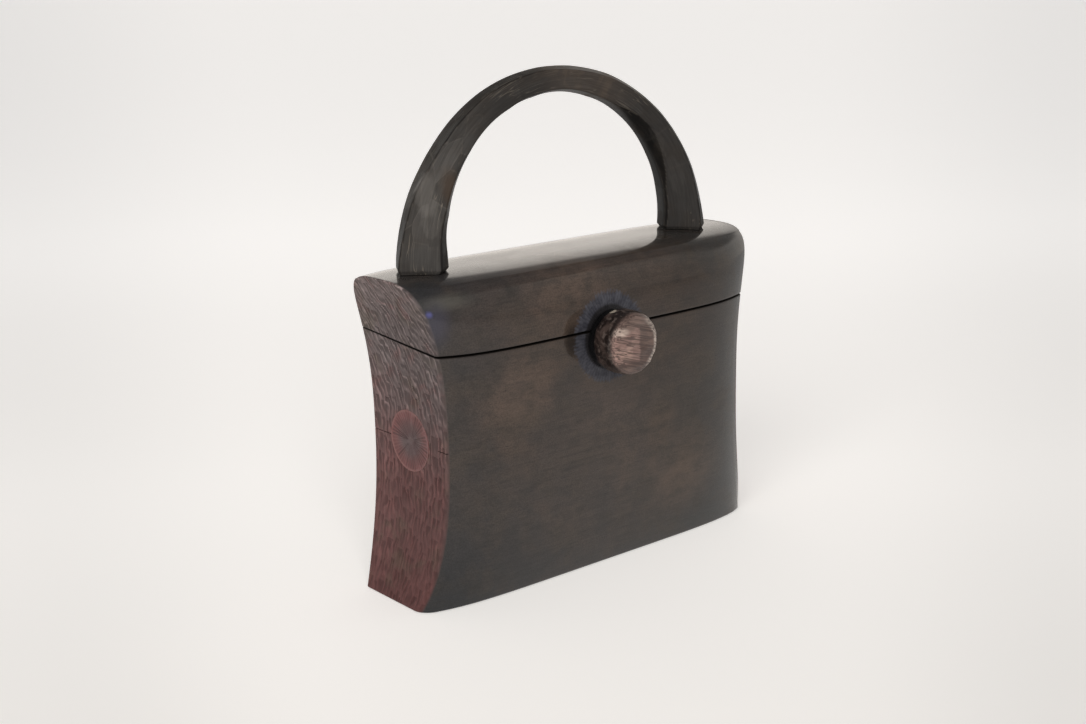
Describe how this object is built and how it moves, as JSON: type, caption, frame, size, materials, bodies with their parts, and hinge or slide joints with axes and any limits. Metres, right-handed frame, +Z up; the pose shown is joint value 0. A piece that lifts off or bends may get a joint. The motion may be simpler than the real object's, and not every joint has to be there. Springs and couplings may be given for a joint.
{
  "type": "wooden handbag",
  "caption": "Small carved wooden handbag with a bowed body, hollowed ends, a hinged domed lid carrying an arched handle, and a round turning knob at the front.",
  "frame": {"origin": "middle of the base, on the surface the bag stands on", "axes": "+Z up, +X along the bag to its right end as seen from the front, the front with the knob faces -Y"},
  "size_m": [0.2222, 0.0978, 0.248],
  "materials": {
    "dark_wood": "dark stained wood, satin polish on the sides, tooled ends",
    "handle_wood": "near-black stained wood, knife-cut facets, satin",
    "knob_wood": "brown wood, worn pale at the face",
    "plug_wood": "dull red stained wood with radial tool marks",
    "hinge_brass": "aged brass"
  },
  "bodies": {
    "case_body": {"case": "dark_wood", "end_plug_left": "plug_wood", "end_plug_right": "plug_wood", "hinge_case_leaf_left": "hinge_brass", "hinge_case_leaf_right": "hinge_brass"},
    "lid_body": {"lid": "dark_wood", "handle": "handle_wood", "hinge_lid_leaf_left": "hinge_brass", "hinge_lid_leaf_right": "hinge_brass"},
    "knob_body": {"knob": "knob_wood"}
  },
  "joints": [
    {"name": "lid_hinge", "type": "hinge", "parent": "case_body", "child": "lid_body", "pos_m": [0, 0.03838, 0.13045], "axis": [-1, 0, 0], "range_deg": [0, 100]},
    {"name": "knob_turn", "type": "hinge", "parent": "case_body", "child": "knob_body", "pos_m": [-0.0015, -0.05, 0.1186], "axis": [0, -1, 0], "range_deg": [0, 90]}
  ]
}
